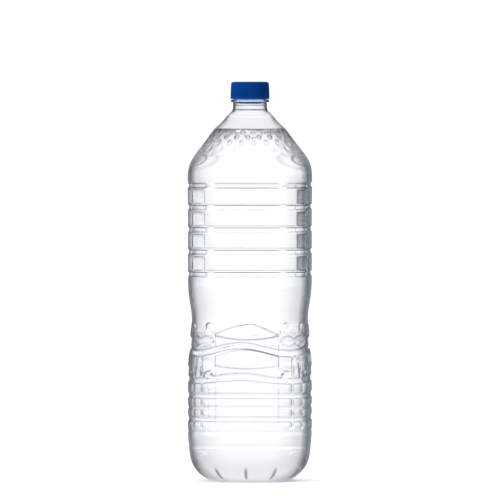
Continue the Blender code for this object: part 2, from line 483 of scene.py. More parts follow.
    def soft_shade_share(self, add: AddNode, facing: Socket, filled: Node, height: Socket) -> Node:
        """Painted soft shade that begins far in from the outline and grows towards the ribbed foot.

        Args:
            add: Adds a node to the material.
            facing: How far the wall turns from the view.
            filled: Share of the painted outline shade at this height.
            height: Height over the floor.

        Returns:
            How strong the painted soft shade is.
        """
        root = add("Math", facing, 0.5, operation="POWER")
        turned_away = add("Math", root, filled, operation="MULTIPLY")
        down = add("MapRange", height, *self.soft_shade_heights, self.low_soft_shade, 0.0)
        return add("Math", turned_away, down, operation="ADD")

    def filled_share(self, add: AddNode, height: Socket) -> Node:
        """Share of the painted outline shade by height: less at the heel and where air backs the thin
        wall, more on the thick neck.

        Args:
            add: Adds a node to the material.
            height: Height over the floor.

        Returns:
            The share, which is 1 on the body.
        """
        smooth = {"interpolation_type": "SMOOTHSTEP"}
        heel, water, neck = (
            add("MapRange", height, middle - reach, middle + reach, low, high, **smooth)
            for middle, reach, low, high in (
                (self.heel_middle, self.heel_reach, self.heel_share - 1.0, 0.0),
                (self.water_line, self.water_reach, 1.0, self.empty_share),
                (self.neck_foot, self.neck_reach, 0.0, self.neck_share - self.empty_share),
            )
        )
        return add("Math", add("Math", heel, water, operation="ADD"), neck, operation="ADD")


@dataclass(frozen=True)
class StillWater:
    """Still drinking water."""

    name: str = "still_water"
    ior: float = 1.333
    # Painted shade: heights and colour of the dark line at the water's level
    level_from: float = 269.5 * MM
    level_to: float = 270.1 * MM
    level_line_shade: str = "#6E747C"

    def material(self) -> bpy.types.Material:
        """Build the water, clear throughout, with a painted dark line at its level, where the surface is
        seen almost edge on.

        Returns:
            The material.
        """
        material = bpy.data.materials.new(self.name)
        add = cleared(material)
        height = add("SeparateXYZ", add("TexCoord").outputs["Object"]).outputs["Z"]
        # Painted shade: a grey band at the level stands in for the dark line of the surface seen edge on
        near = add("MapRange", height, self.level_from, self.level_to, interpolation_type="SMOOTHSTEP")
        tint = add("ValToRGB", near, stops=((0.0, "#FFFFFF"), (1.0, self.level_line_shade)))
        sockets = {"Base Color": tint, "Roughness": 0.0, "IOR": self.ior, "Transmission Weight": 1.0}
        let_lamps_through(add, add("BsdfPrincipled", at=sockets))
        return material


@dataclass(frozen=True)
class MouldedPolyethylene:
    """High-density polyethylene, injection-moulded and dyed through."""

    name: str = "moulded_polyethylene"
    colour: str = "#002962"
    deep: str = "#002458"
    cloud: float = 6.0 * MM
    grain: float = 0.6 * MM
    grain_height: float = 0.1 * MM
    gloss: tuple[float, float] = (0.57, 0.69)
    ior: float = 1.54
    specular: float = 0.03

    def material(self) -> bpy.types.Material:
        """Build the cap's satin blue, with the faint unevenness of dyed polyethylene.

        Returns:
            The material.
        """
        material = bpy.data.materials.new(self.name)
        add = cleared(material)
        place = add("TexCoord").outputs["Object"]
        # Dye swirls: a soft cloud a few millimetres wide, barely lighter than the body colour
        swirl = add("TexNoise", at={"Vector": place, "Scale": 1.0 / self.cloud, "Detail": 3.0})
        tint = add("ValToRGB", swirl, stops=((0.3, self.deep), (0.75, self.colour)))
        # The mould's fine spark-eroded grain breaks up the gloss
        grain = add("TexNoise", at={"Vector": place, "Scale": 1.0 / self.grain, "Detail": 2.0})
        bump = add("Bump", at={"Height": grain, "Strength": 0.15, "Distance": self.grain_height})
        shader = add(
            "BsdfPrincipled",
            at={
                "Base Color": tint,
                "Roughness": add("MapRange", grain, 0.0, 1.0, *self.gloss),
                "Normal": bump,
                "IOR": self.ior,
                "Specular IOR Level": self.specular,
            },
        )
        add("OutputMaterial", shader)
        return material


@dataclass(frozen=True)
class Ring:
    """One ring of the outside before relief, with the place of each column on the faces."""

    angles: np.ndarray
    height: float
    half: float
    roundness: float

    @property
    def radius(self) -> np.ndarray:
        """Distance from the axis to the plain rounded square."""
        return section(self.angles, self.half, self.roundness)

    @property
    def from_face(self) -> np.ndarray:
        """Signed angle from the middle of the nearest face."""
        return wrapped(self.angles, QUARTER)

    @property
    def across(self) -> np.ndarray:
        """Signed distance along the face from its middle."""
        return self.radius * np.sin(self.from_face)


@dataclass(frozen=True)
class LabelZone:
    """Five level grooves, with a flat panel let into each corner between them."""

    top: float = 228.0 * MM
    pitch: float = 17.1 * MM
    count: int = 5
    depth: float = 1.0 * MM
    corner_depth: float = 1.3 * MM
    crisp_wall: tuple[float, float] = (1.5 * MM, 2.1 * MM)
    soft_wall: tuple[float, float] = (0.4 * MM, 2.7 * MM)
    post: tuple[float, float] = (27.6 * MM, 31.0 * MM)
    post_ramp: float = 5.0 * MM
    post_fade: float = 1.0 * MM
    post_share: float = 0.8
    facet_half: float = math.radians(7.5)
    facet_leans: Sequence[float] = (math.radians(7.0), 0.0, math.radians(7.0), 0.0)
    facet_edge: float = math.radians(0.5)
    # Painted shade on two corner panels, painted light on the other two
    facet_shade_and_light: tuple[float, ...] = (0.46, -0.16, 0.46, -0.16)
    strip: tuple[float, float] = (math.radians(8.2), math.radians(13.9))
    strip_ramp: float = math.radians(0.4)
    # Painted highlights on the strips past the panels
    strip_highlights: tuple[float, ...] = (0.0, -0.4, 0.0, -0.4)
    facet_recess: float = 0.7 * MM
    facet_margin: float = 3.3 * MM
    facet_rise: float = 1.4 * MM
    rows_at: Sequence[float] = tuple(
        row * MM
        for row in (
            *(4.1, 3.85, 3.6, 3.35, 2.8, 2.2, 2.0, 1.75, 1.5, 1.3, 0.6, -0.4),
            *(-1.1, -1.4, -1.75, -2.1, -2.5, -2.9, -3.35, -3.6, -3.85, -4.1, -6.6, -10.7),
        )
    )

    def middles(self) -> list[float]:
        """Heights of the grooves, from the top one down."""
        return [self.top - i * self.pitch for i in range(self.count)]

    def depth_at(self, ring: Ring) -> np.ndarray:
        """Depth below the plain form round one ring.

        Args:
            ring: The ring before relief.

        Returns:
            The depth at each column.
        """
        relief = np.zeros_like(ring.angles)
        near_corner = 1.0 - smoothstep(
            self.facet_half, self.facet_half + 2.0 * self.facet_edge, self.from_facet(ring)
        )
        low, high = self.post
        away = np.abs(ring.across)
        post = smoothstep(low - self.post_ramp, low, away)
        post = post * (1.0 - smoothstep(high, high + self.post_fade, away))
        for middle in self.middles():
            # The panels' outer edges are the crisp ones: the top groove's lower wall, then the upper
            offset = (ring.height - middle) * (-1.0 if middle == self.top else 1.0)
            share = 1.0 - smoothstep(*self.crisp_wall, offset)
            share = share * (1.0 - smoothstep(*self.soft_wall, -offset))
            depth = self.depth * (1.0 - self.post_share * post * (1.0 - near_corner))
            relief += share * (depth + (self.corner_depth - self.depth) * near_corner)
        return relief + self.facets(ring)

    def nearest_panel(self, ring: Ring) -> tuple[np.ndarray, np.ndarray]:
        """Number of each column's corner, and the angle of the middle of its panel."""
        corner = (ring.angles // QUARTER).astype(int) % len(self.facet_leans)
        return corner, (corner + 0.5) * QUARTER + np.array(self.facet_leans)[corner]

    def from_facet(self, ring: Ring) -> np.ndarray:
        """Angle from the middle of the nearest corner panel, without sign."""
        return np.abs(ring.angles - self.nearest_panel(ring)[1])

    def chord(self, ring: Ring) -> np.ndarray:
        """Distance from the axis to the plane through each corner panel's two upright borders.

        Args:
            ring: The ring before relief.

        Returns:
            The distance at each column, which is large off the panels.
        """
        reach = np.full_like(ring.angles, ring.radius.max())
        for corner, lean in enumerate(self.facet_leans):
            middle = (corner + 0.5) * QUARTER + lean
            ends = np.array([middle - self.facet_half, middle + self.facet_half])
            radii = section(ends, ring.half, ring.roundness)
            across = radii * np.sin(ends)
            along = radii * np.cos(ends)
            normal = np.array([along[0] - along[1], across[1] - across[0]])
            normal /= np.linalg.norm(normal)
            offset = normal @ np.array([across[0], along[0]])
            near = np.abs(ring.angles - middle) < 1.2 * self.facet_half
            facing = normal[0] * np.sin(ring.angles[near]) + normal[1] * np.cos(ring.angles[near])
            reach[near] = offset / facing
        return reach

    def panel_rows(self, height: float) -> float:
        """1 at the heights of the corner panels, 0 between them, with a ramp between.

        Args:
            height: Height over the floor.

        Returns:
            The share.
        """
        rise = 0.0
        for upper, lower in zip(self.middles(), self.middles()[1:]):
            inside = min(upper - height, height - lower) - self.facet_margin
            rise += float(smoothstep(-self.facet_rise, self.facet_rise, inside))
        return rise

    def on_facet(self, ring: Ring) -> np.ndarray:
        """1 on the flat corner panels, 0 off them, with a ramp between.

        Args:
            ring: The ring before relief.

        Returns:
            The share at each column.
        """
        rise = self.panel_rows(ring.height)
        border = 1.0 - smoothstep(
            self.facet_half - self.facet_edge, self.facet_half + self.facet_edge, self.from_facet(ring)
        )
        return rise * border

    def facets(self, ring: Ring) -> np.ndarray:
        """Depth of the flat corner panels.

        Args:
            ring: The ring before relief.

        Returns:
            The depth at each column.
        """
        share = self.on_facet(ring)
        if not share.any():
            return share
        flat = np.maximum(ring.radius - self.chord(ring), 0.0)
        return share * (flat + self.facet_recess)

    def tone(self, ring: Ring) -> np.ndarray:
        """Painted shade on the corner panels seen from the side, and painted highlights on the strips past
        them.

        Args:
            ring: The ring before relief.

        Returns:
            The painted shade at each column, negative where light is painted on.
        """
        corner, middle = self.nearest_panel(ring)
        low, high = self.strip
        past = middle - ring.angles
        strip = smoothstep(low - self.strip_ramp, low, past)
        strip = strip * (1.0 - smoothstep(high - self.strip_ramp, high, past))
        strip = strip * self.panel_rows(ring.height) * np.array(self.strip_highlights)[corner]
        return self.on_facet(ring) * np.array(self.facet_shade_and_light)[corner] + strip


@dataclass(frozen=True)
class Band:
    """One band round the grip: sunk where its depth is positive, proud where it is negative."""

    middle: float
    half: float
    depth: float
    upper_slope: float = 3.0 * MM
    lower_slope: float = 1.3 * MM

    def depth_at(self, height: float) -> float:
        """Depth at a height, with a soft upper and a crisp lower side.

        Args:
            height: Height over the floor.

        Returns:
            The depth, negative where the band stands proud.
        """
        offset = height - self.middle
        upper = smoothstep(self.half - self.upper_slope, self.half, offset)
        lower = smoothstep(self.half - self.lower_slope, self.half, -offset)
        return self.depth * float((1.0 - upper) * (1.0 - lower))


@dataclass(frozen=True)
class Lens:
    """A proud lens-shaped cushion on every face, bounded by two shallow arcs."""

    foot: float
    foot_rise: float
    top: float
    left_fall: float
    right_fall: float
    peak: float = 0.0
    right_power: float = 2.0
    half_width: float = 24.6 * MM
    proud: float = 1.1 * MM
    crown: float = 0.1 * MM
    edge: float = 1.3 * MM
    side_edge: tuple[float, float] = (-0.2 * MM, 0.8 * MM)

    def depth_at(self, ring: Ring, heights: np.ndarray) -> np.ndarray:
        """Depth round one ring, negative where the cushion stands proud.

        Args:
            ring: The ring before relief.
            heights: Height of each column, with the arches' rise.

        Returns:
            The depth at each column.
        """
        foot = self.foot + self.foot_rise * (ring.across / self.half_width) ** 2
        left = np.clip((self.peak - ring.across) / (self.half_width + self.peak), 0.0, 1.0)
        right = np.clip((ring.across - self.peak) / (self.half_width - self.peak), 0.0, 1.0)
        top = self.top - self.left_fall * left**2 - self.right_fall * right**self.right_power
        inside = np.minimum(heights - foot, top - heights)
        sideways = self.half_width - np.abs(ring.across)
        rim = smoothstep(0.0, self.edge, inside) * smoothstep(*self.side_edge, sideways)
        middle = np.clip(1.0 - (2.0 * (heights - foot) / (top - foot) - 1.0) ** 2, 0.0, 1.0)
        return -rim * (self.proud + self.crown * middle)


@dataclass(frozen=True)
class GripZone:
    """The grip: arched and level bands, lens cushions, upright creases and pads by the corners."""

    turn: float = math.radians(-6.0)
    arches: Profile = in_metres(
        (120.0, 0.0), (103.0, 3.2), (80.0, 1.8), (71.0, 0.0),
    )
    bands: Sequence[Band] = (
        Band(102.5 * MM, 3.4 * MM, 1.1 * MM, 2.4 * MM, 1.5 * MM),
        Band(80.0 * MM, 3.4 * MM, 1.0 * MM, 2.4 * MM, 1.3 * MM),
        Band(67.2 * MM, 3.1 * MM, 0.9 * MM),
        Band(57.9 * MM, 2.2 * MM, 0.65 * MM, 2.6 * MM, 1.1 * MM),
        Band(49.3 * MM, 3.0 * MM, 0.9 * MM),
        Band(39.0 * MM, 1.7 * MM, 0.45 * MM, 2.2 * MM, 1.1 * MM),
        Band(28.2 * MM, 1.7 * MM, 0.4 * MM, 2.2 * MM, 1.1 * MM),
    )
    lenses: Sequence[Lens] = (
        Lens(109.2 * MM, 3.2 * MM, 122.4 * MM, 8.1 * MM, 8.8 * MM, 4.9 * MM, 1.1),
        Lens(87.0 * MM, 2.6 * MM, 102.6 * MM, 5.2 * MM, 5.2 * MM, proud=0.8 * MM),
    )
    face_crease: float = 24.9 * MM
    corner_crease: float = 35.0 * MM
    crease_half: float = 0.8 * MM
    crease_depths: tuple[float, float] = (0.45 * MM, 1.1 * MM)
    crease_foot: float = 41.0 * MM
    crease_rise: float = 3.0 * MM
    band_edge: float = 0.4 * MM
    crease_tops: tuple[float, float] = (124.0 * MM, 103.0 * MM)
    crease_fade: float = 5.0 * MM
    pads: Sequence[Row] = (
        (123.0 * MM, 2.2 * MM, 6.5 * MM),
        (86.6 * MM, 4.0 * MM, 6.5 * MM),
    )
    eye: Row = (108.5 * MM, 6.6 * MM, 4.6 * MM)
    eye_middle: float = 31.5 * MM
    pad_middle: float = 30.0 * MM
    pad_edge: float = 1.0 * MM
    pad_depth: float = 1.1 * MM
    eye_share: float = 0.8

    def lift(self, ring: Ring) -> np.ndarray:
        """How far the arches raise each column of a ring."""
        arch = smooth_between(self.arches, ring.height)
        return arch * np.cos(4.0 * (ring.angles - self.turn))

    def creases(self, ring: Ring, bands: float) -> np.ndarray:
        """Depth of the upright creases; those by the corners stop at the bands.

        Args:
            ring: The ring before relief.
            bands: Depth of the bands at this height.

        Returns:
            The depth at each column.
        """
        foot = float(smoothstep(self.crease_foot, self.crease_foot + self.crease_rise, ring.height))
        relief = np.zeros_like(ring.angles)
        between = 1.0 - min(abs(bands) / self.band_edge, 1.0)
        face, corner = self.crease_depths
        places = (self.face_crease, self.corner_crease)
        for place, depth, top in zip(places, (face, corner * between), self.crease_tops):
            away = np.abs(np.abs(ring.across) - place) / self.crease_half
            fade = foot * (1.0 - float(smoothstep(top - self.crease_fade, top, ring.height)))
            relief += np.clip(1.0 - away, 0.0, 1.0) * depth * fade
        return relief

    def corner_pads(self, ring: Ring, heights: np.ndarray) -> np.ndarray:
        """Depth of the small round-topped pads between the creases, which fade out downwards.

        Args:
            ring: The ring before relief.
            heights: Height of each column, with the arches' rise.

        Returns:
            The depth at each column.
        """
        relief = np.zeros_like(ring.angles)
        for top, half, tall in self.pads:
            side = (np.abs(ring.across) - self.pad_middle) / half
            crown = top - half * np.clip(side, -1.0, 1.0) ** 2
            edge = smoothstep(0.0, self.pad_edge, crown - heights)
            edge = edge * smoothstep(0.0, self.pad_edge, (1.0 - np.abs(side)) * half)
            fade = smoothstep(top - half - tall, top - half, heights)
            relief += edge * fade * self.pad_depth
        middle, wide, tall = self.eye
        side = (np.abs(ring.across) - self.eye_middle) / wide
        inside = tall * (1.0 - np.clip(side, -1.0, 1.0) ** 2) - np.abs(heights - middle)
        return np.maximum(relief, smoothstep(0.0, self.pad_edge, inside) * self.pad_depth * self.eye_share)

    def depth_at(self, ring: Ring) -> np.ndarray:
        """Depth below the plain form round one ring.

        Args:
            ring: The ring before relief.

        Returns:
            The depth at each column.
        """
        bands = sum(band.depth_at(ring.height) for band in self.bands)
        relief = np.full_like(ring.angles, bands)
        heights = ring.height + self.lift(ring)
        relief += self.creases(ring, bands) + self.corner_pads(ring, heights)
        for lens in self.lenses:
            relief += lens.depth_at(ring, heights)
        return relief


@dataclass(frozen=True)
class ShoulderDimples:
    """Rows of sunk teardrops round the shoulder."""

    count: int = 23
    rows: Sequence[tuple[float, float, float, float]] = (
        (268.6 * MM, 0.5, 2.2 * MM, 0.9 * MM),
        (265.0 * MM, 0.0, 2.8 * MM, 0.9 * MM),
        (260.8 * MM, 0.5, 3.2 * MM, 0.7 * MM),
        (256.4 * MM, 0.0, 3.2 * MM, 0.45 * MM),
        (252.4 * MM, 0.5, 2.6 * MM, 0.3 * MM),
    )
    half_width: float = 1.7 * MM
    slope: float = 1.30
    narrowing: float = 0.35
    edge: float = 0.55

    def depth_at(self, ring: Ring) -> np.ndarray:
        """Depth below the plain form round one ring.

        Args:
            ring: The ring before relief.

        Returns:
            The depth at each column.
        """
        relief = np.zeros_like(ring.angles)
        pitch = FULL_TURN / self.count
        for height, phase, half_length, depth in self.rows:
            along = (ring.height - height) * self.slope / half_length
            if abs(along) >= 1.0:
                continue
            turn = wrapped(ring.angles - phase * pitch, pitch)
            width = self.half_width * (1.0 - self.narrowing * along)
            inside = 1.0 - (turn * ring.radius / width) ** 2 - along**2
            relief += depth * smoothstep(0.0, self.edge, inside)
        return relief


@dataclass(frozen=True)
class HeelNotches:
    """Radial notches round the heel that stiffen the base."""

    count: int = 12
    turn: float = math.radians(-1.6)
    low: float = 1.4 * MM
    high: float = 14.0 * MM
    low_ramp: float = 3.0 * MM
    high_ramp: float = 6.0 * MM
    half: float = math.radians(1.4)
    depth: float = 1.35 * MM

    def depth_at(self, ring: Ring) -> np.ndarray:
        """Depth below the plain form round one ring.

        Args:
            ring: The ring before relief.

        Returns:
            The depth at each column.
        """
        pitch = FULL_TURN / self.count
        turn = np.abs(wrapped(ring.angles - self.turn, pitch))
        share = np.clip(1.0 - turn / self.half, 0.0, 1.0)
        tall = smoothstep(self.low, self.low + self.low_ramp, ring.height)
        tall = tall * (1.0 - smoothstep(self.high - self.high_ramp, self.high, ring.height))
        return self.depth * tall * share


@dataclass
class BottleForm:
    """Shape of the blow-moulded bottle: a rounded square body that turns round at the neck."""

    shoulder: Profile = in_metres(
        (285.0, 13.4), (282.2, 16.5), (276.5, 21.4), (271.0, 27.2), (261.4, 34.2), (252.2, 41.0),
        (246.5, 44.4), (241.0, 46.3), (233.7, 46.9),
    )
    label_and_grip: Profile = in_metres(
        (205.0, 46.7), (155.0, 46.7), (147.0, 46.4), (138.0, 45.3), (129.0, 44.0), (118.0, 43.7),
        (106.0, 44.3), (97.0, 45.4), (88.0, 46.2), (75.0, 46.75), (57.0, 46.75), (40.0, 46.8),
    )
    heel: Profile = in_metres(
        (30.0, 46.3), (18.8, 45.1), (14.3, 43.9), (9.7, 41.6), (5.2, 37.7), (2.4, 33.8), (0.8, 30.7),
        (0.0, 28.5),
    )
    neck: Profile = in_metres(
        (285.4, 13.5), (285.8, 13.6), (286.2, 13.3), (286.6, 13.05), (288.5, 13.0), (290.6, 13.0),
        (291.2, 13.2), (291.4, 13.9), (291.5, 14.6), (291.75, 14.8), (292.0, 14.8), (292.3, 14.7),
        (292.5, 14.6), (292.8, 14.5), (293.3, 14.45), (293.4, 14.2), (293.4, 12.8), (293.6, 12.6),
        (303.3, 12.6), (303.7, 12.4), (303.8, 12.0),
    )
    bore: Profile = in_metres(
        (303.8, 11.4), (303.5, 10.9), (302.5, 10.8), (292.0, 10.8), (287.5, 10.9),
    )
    body_roundness: float = 0.60
    heel_roundness: float = 0.82
    round_from: float = 272.0 * MM
    square_below: float = 236.0 * MM
    heel_top: float = 24.0 * MM
    widest_gap: float = 3.2
    shoulder_columns: int = 270
    shoulder_foot: float = 242.0 * MM
    push_up_rise: float = 5.6 * MM
    standing_inner: float = 25.0 * MM
    wall_body: float = 1.7 * MM
    deepest: float = 1.35 * MM
    edge_slopes: tuple[float, float] = (0.2, 1.6)
    # Painted shade: thin grey lines round the neck, carried by the same layer as the moulded edges
    neck_lines: Sequence[tuple[float, float, float]] = (
        (285.3 * MM, 286.3 * MM, 0.55),
        (291.45 * MM, 292.1 * MM, 0.2),
    )
    wall_shoulder: float = 1.1 * MM
    wall_neck: float = 2.7 * MM
    wall_thins: tuple[float, float] = (236.0 * MM, 262.0 * MM)
    wall_thickens: tuple[float, float] = (264.0 * MM, 294.0 * MM)
    inner_base_share: float = 0.9
    inner_base_lift: float = 0.4 * MM
    slope_step: float = 0.5 * MM
    neck_foot: float = 285.0 * MM
    base_rings: int = 10
    heel_rings: int = 28
    grip_rows: Profile = in_metres((45.0, 0.9), (72.0, 0.55), (124.0, 0.6))
    waist_step: float = 2.2 * MM
    over_label: float = 5.0 * MM
    over_label_step: float = 1.8 * MM
    shoulder_rows: Profile = in_metres((249.0, 1.2), (272.0, 0.7), (285.0, 1.2))
    inner_low: float = 0.6 * MM
    inner_steps: Row = (1.6 * MM, 6.0 * MM, 2.0 * MM)
    crease_columns: Sequence[Row] = (
        (29.0, 2.0, 0.5),
        (40.2, 1.4, 0.7),
        (49.8, 1.4, 0.7),
        (61.0, 2.0, 0.5),
    )
    border_columns: tuple[float, float] = (0.8, 0.4)
    closest_columns: float = 0.25
    notch_columns: Sequence[float] = (-2.2, -1.4, -0.7, 0.0, 0.7, 1.4, 2.2)
    notch_gap: Row = (4.5, 4.0, 3.0)

    label: LabelZone = LabelZone()
    grip: GripZone = GripZone()
    dimples: ShoulderDimples = ShoulderDimples()
    notches: HeelNotches = HeelNotches()

    def profile(self) -> Profile:
        """Half width over the faces at every height, from the neck down."""
        return (*self.shoulder, *self.label_and_grip, *self.heel)

    def roundness(self, height: float) -> float:
        """How round the section is at a height: 1 is a circle.

        Args:
            height: Height over the floor.

        Returns:
            Corner radius over half width.
        """
        if height >= self.round_from:
            return 1.0
        if height > self.square_below:
            share = float(smoothstep(self.square_below, self.round_from, height))
            return self.body_roundness + (1.0 - self.body_roundness) * share
        if height < self.heel_top:
            share = 1.0 - height / self.heel_top
            return self.body_roundness + (self.heel_roundness - self.body_roundness) * share
        return self.body_roundness

    def ring(self, angles: np.ndarray, height: float) -> Ring:
        """Plain ring at a height."""
        half = smooth_between(self.profile(), height) if height else self.heel[-1][1]
        return Ring(angles, height, half, self.roundness(height))

    def body_angles(self) -> np.ndarray:
        """Columns of the body: close together at the creases and at the corner panels' borders.

        Returns:
            Their angles.
        """
        turns: list[float] = []
        for quarter, lean in enumerate(self.label.facet_leans):
            middle, half = 45.0 + math.degrees(lean), math.degrees(self.label.facet_half)
            borders = [(border, *self.border_columns) for border in (middle - half, middle + half)]
            near = {0.0, 90.0}
            for centre, reach, step in [*self.crease_columns, *borders]:
                near |= {round(centre + o, 2) for o in np.arange(-reach, reach + 0.01, step)}
            marks: list[float] = []
            for turn in sorted(near):
                if not marks or turn - marks[-1] > self.closest_columns:
                    marks.append(turn)
            for low, high in zip(marks, marks[1:]):
                turns += [quarter * 90.0 + turn for turn in spread(low, (high, self.widest_gap))]
        return np.radians(np.array(turns))

    def heel_angles(self) -> np.ndarray:
        """Columns of the heel: close together at the notches.

        Returns:
            Their angles.
        """
        pitch = 360.0 / self.notches.count
        past, short, step = self.notch_gap
        offsets = [*self.notch_columns, *np.arange(past, pitch - short, step)]
        first = math.degrees(self.notches.turn)
        turns = [first + i * pitch + o for i in range(self.notches.count) for o in offsets]
        return np.radians(np.sort(np.array(turns) % 360.0))

    def body_heights(self) -> list[float]:
        """Heights of the body's rings, close together where the relief is fine.

        Returns:
            The heights, from the lowest up.
        """
        waist_top = self.label.middles()[-1] + self.label.rows_at[-3]
        heights = spread(self.heel_top, *self.grip_rows, (waist_top, self.waist_step))
        for middle in reversed(self.label.middles()):
            heights += [middle + offset for offset in reversed(self.label.rows_at)]
        heights = [h for h in heights if h <= self.label.top + self.label.rows_at[0]]
        heights += spread(self.label.top + self.over_label, (self.shoulder_foot, self.over_label_step))
        return sorted(set(heights))

    def sections(self) -> list[tuple[np.ndarray, list[float]]]:
        """Columns and ring heights of each stretch of the outside, from the heel up.

        Returns:
            Angles and heights of the heel, the body and the shoulder.
        """
        heel = [self.heel_top * (i / self.heel_rings) ** 2.0 for i in range(self.heel_rings)]
        shoulder = [*spread(self.shoulder_foot, *self.shoulder_rows), self.shoulder[0][0]]
        return [
            (self.heel_angles(), heel),
            (self.body_angles(), self.body_heights()),
            (even_angles(self.shoulder_columns), shoulder),
        ]

    def relief(self, ring: Ring) -> np.ndarray:
        """Depth of all relief round one ring, which never cuts through the wall.

        Args:
            ring: The ring before relief.

        Returns:
            The depth at each column.
        """
        if ring.height >= self.shoulder_foot:
            return self.dimples.depth_at(ring)
        zone = self.notches if ring.height < self.heel_top else self.label
        return np.minimum(zone.depth_at(ring) + self.grip.depth_at(ring), self.deepest)

    def stretch(self, angles: np.ndarray, heights: Sequence[float]) -> tuple[np.ndarray, np.ndarray]:
        """Outside of one stretch with its relief.

        Args:
            angles: Angles of its columns.
            heights: Heights of its rings.

        Returns:
            Points as (ring, column, xyz), and how strongly each one shows as a painted grey edge line and
            how much painted panel shade and light it gets.
        """
        rings = [self.ring(angles, height) for height in heights]
        depths = np.array([self.relief(ring) for ring in rings])
        points = []
        for ring, depth in zip(rings, depths):
            reach = ring.radius - depth
            lift = self.grip.lift(ring) if ring.height > self.heel_top else 0.0
            points.append(turned(reach, ring.height + lift, angles))
        along = np.gradient(depths, np.array(heights), axis=0)
        wide = np.hstack([depths[:, -1:], depths, depths[:, :1]])
        turns = np.hstack([angles[-1] - FULL_TURN, angles, angles[0] + FULL_TURN])
        around = np.gradient(wide, turns, axis=1)[:, 1:-1] / np.array([r.radius for r in rings])
        # Painted shade: how strongly each point shows as a grey edge line, from how steep its relief is
        edges = smoothstep(*self.edge_slopes, np.hypot(along, around))
        # Painted shade and light on the corner panels
        panel_shades_and_lights = np.array([self.label.tone(ring) for ring in rings])
        return np.array(points), np.stack([edges, panel_shades_and_lights], axis=2)

    def outside(self) -> tuple[list[np.ndarray], np.ndarray]:
        """Rings of the outside from the middle of the base to the mouth, with their painted edge lines and
        panel shade and light.

        Returns:
            Points of every ring, and the painted edge line and panel shade and light for each point.
        """
        rings, edges = [], []
        angles = self.heel_angles()
        for i in range(1, self.base_rings + 1):
            share = i / self.base_rings
            half = self.standing_inner * share
            reach = section(angles, half, self.heel_roundness)
            rise = self.push_up_rise * (1.0 - share**2)
            rings.append(turned(reach, rise, angles))
            edges.append(np.zeros((len(angles), 2)))
        for columns, heights in self.sections():
            points, shares = self.stretch(columns, heights)
            rings += list(points)
            edges += list(shares)
        for height, radius in self.neck:
            rings.append(turned(radius, height, even_angles(PLAIN_COLUMNS)))
            # The neck's painted grey lines go into the edge layer
            line = [share for low, high, share in self.neck_lines if low <= height <= high]
            edges.append(np.tile([sum(line), 0.0], (PLAIN_COLUMNS, 1)))
        return rings, np.concatenate(edges)

    def wall_at(self, height: float) -> float:
        """Thickness of the wall, thinnest where the shoulder was blown widest.

        Args:
            height: Height over the floor.

        Returns:
            The thickness.
        """
        thinner = self.wall_shoulder - self.wall_body
        wall = self.wall_body + thinner * float(smoothstep(*self.wall_thins, height))
        return wall + (self.wall_neck - wall) * float(smoothstep(*self.wall_thickens, height))

    def inside(self, inset: float, top: float) -> list[np.ndarray]:
        """Plain rings of the inside, from the middle of the base up.

        Args:
            inset: How much further in than the wall's thickness.
            top: Height at which the rings stop.

        Returns:
            Points of every ring.
        """
        angles = even_angles(PLAIN_COLUMNS)
        floor = self.push_up_rise + self.wall_body + inset
        standing = self.standing_inner * self.inner_base_share
        drop = self.push_up_rise - self.inner_base_lift
        rings = [
            turned(standing * share, floor - drop * share**2, angles)
            for share in (0.2, 0.4, 0.6, 0.8, 1.0)
        ]
        tops = (self.heel_top, self.square_below, self.neck_foot)
        for height in spread(self.inner_low, *zip(tops, self.inner_steps)):
            ring = self.ring(angles, height)
            upper = self.ring(angles, height + self.slope_step)
            lower = self.ring(angles, max(height - self.slope_step, 0.0))
            slope = (upper.half - lower.half) / (upper.height - lower.height)
            lean = 1.0 / math.hypot(1.0, slope)
            wall = self.wall_at(height) + inset
            reach = ring.radius - wall * lean
            rise = height + wall * slope * lean
            if rise >= top or rise < self.wall_body + inset:
                continue
            rings.append(turned(reach, rise, angles))
        return rings


@dataclass
class BottleShell:
    """The PET shell: outside, mouth and inside as one closed mesh."""

    form: BottleForm
    finish: BlowMouldedPet

    def build(self) -> bpy.types.Object:
        """Make the shell and let it stand for the plain one.

        Returns:
            The shell.
        """
        outside, outer_edges = self.form.outside()
        columns = even_angles(PLAIN_COLUMNS)
        bore = [turned(radius, height, columns) for height, radius in self.form.bore]
        inside = self.form.inside(0.0, self.form.bore[-1][0] - 1.0 * MM)
        base = self.form.push_up_rise
        shell = skin(
            "bottle_shell",
            [*outside, *bore, *inside[::-1]],
            (base, base + self.form.wall_body),
            self.finish.material(),
        )
        marks = np.zeros((len(shell.data.vertices), 3))
        marks[: len(outer_edges), :2] = outer_edges
        marks[: len(outer_edges), 2] = 1.0
        # Painted edge lines, painted panel shade and light, and which points are outside
        for name, values in zip((EDGE_SHADE_LAYER, PANEL_LIGHT_LAYER, OUTER_LAYER), marks.T):
            layer = shell.data.attributes.new(name, "FLOAT", "POINT")
            layer.data.foreach_set("value", np.ascontiguousarray(values))
        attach(shell, Body.WHOLE.value)
        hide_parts("bottle")
        triangles = sum(len(face.vertices) - 2 for face in shell.data.polygons)
        log.info("bottle shell: %d faces, %d triangles", len(shell.data.polygons), triangles)
        return shell


